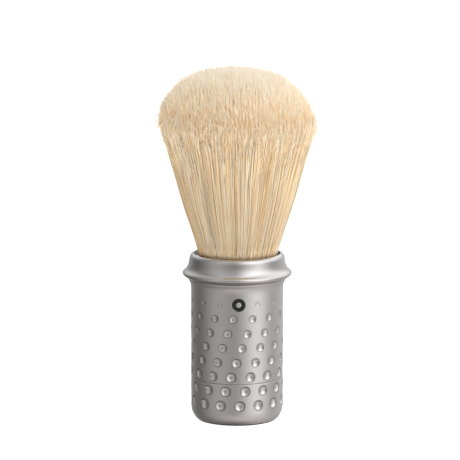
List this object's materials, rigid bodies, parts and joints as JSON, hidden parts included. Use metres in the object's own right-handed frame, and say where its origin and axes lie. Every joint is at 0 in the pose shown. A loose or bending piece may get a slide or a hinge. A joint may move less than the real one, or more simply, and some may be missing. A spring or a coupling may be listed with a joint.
{
  "type": "shaving brush",
  "caption": "Shaving brush with a dimpled satin metal handle that unscrews at its base, a polished flanged collar and a fan-shaped knot of cream hair.",
  "frame": {"origin": "centre of the foot pad's resting face", "axes": "+Z along the long axis, from the foot towards the tips of the hair; -Y towards the small badge"},
  "size_m": [0.0482, 0.0482, 0.11],
  "materials": {
    "satin_metal": "bead-blasted satin",
    "polished_metal": "fine turned, part polished",
    "cup_metal": "as turned",
    "badge_enamel": "gloss black enamel",
    "badge_silver": "bright",
    "ballast_brass": "as turned",
    "screw_steel": "plain steel",
    "foot_rubber": "matte black rubber",
    "seal_rubber": "semi-matte black rubber",
    "resin": "amber epoxy",
    "binding_cord": "waxed cotton cord",
    "hair": "cream natural hair, flagged tips"
  },
  "bodies": {
    "handle": {"handle_barrel": "satin_metal", "badge_disc": "badge_enamel", "badge_dot": "badge_silver"},
    "base_ring": {"base_seal": "seal_rubber"},
    "base": {"base_cap": "satin_metal", "ballast_slug": "ballast_brass", "ballast_screw": "screw_steel", "foot_pad": "foot_rubber"},
    "collar_ring_seal": {"collar_seal": "seal_rubber"},
    "knot": {"collar_ring": "polished_metal", "knot_cup": "cup_metal", "knot_resin": "resin", "knot_tie": "binding_cord", "hair_root": "hair"},
    "bloom": {"hair_bloom": "hair"}
  },
  "joints": [
    {"name": "base_travel", "type": "slide", "parent": "handle", "child": "base_ring", "axis": [0, 0, -1], "range_m": [0, 0.0045]},
    {"name": "base_turn", "type": "hinge", "parent": "base_ring", "child": "base", "pos_m": [0, 0, 0.0151], "axis": [0, 0, -1], "range_deg": [0, 810]},
    {"name": "knot_travel", "type": "slide", "parent": "handle", "child": "collar_ring_seal", "axis": [0, 0, 1], "range_m": [0, 0.006]},
    {"name": "knot_turn", "type": "hinge", "parent": "collar_ring_seal", "child": "knot", "pos_m": [0, 0, 0.0439], "axis": [0, 0, 1], "range_deg": [0, 1080]},
    {"name": "loft_flex", "type": "hinge", "parent": "knot", "child": "bloom", "pos_m": [0, 0, 0.058], "axis": [0, 1, 0], "range_deg": [-25, 25], "stiffness_Nm_per_rad": 0.15}
  ],
  "couplings": [
    {"joint": "base_turn", "follows": "base_travel", "rad_per_m": 3141.6},
    {"joint": "knot_turn", "follows": "knot_travel", "rad_per_m": 3141.6}
  ]
}
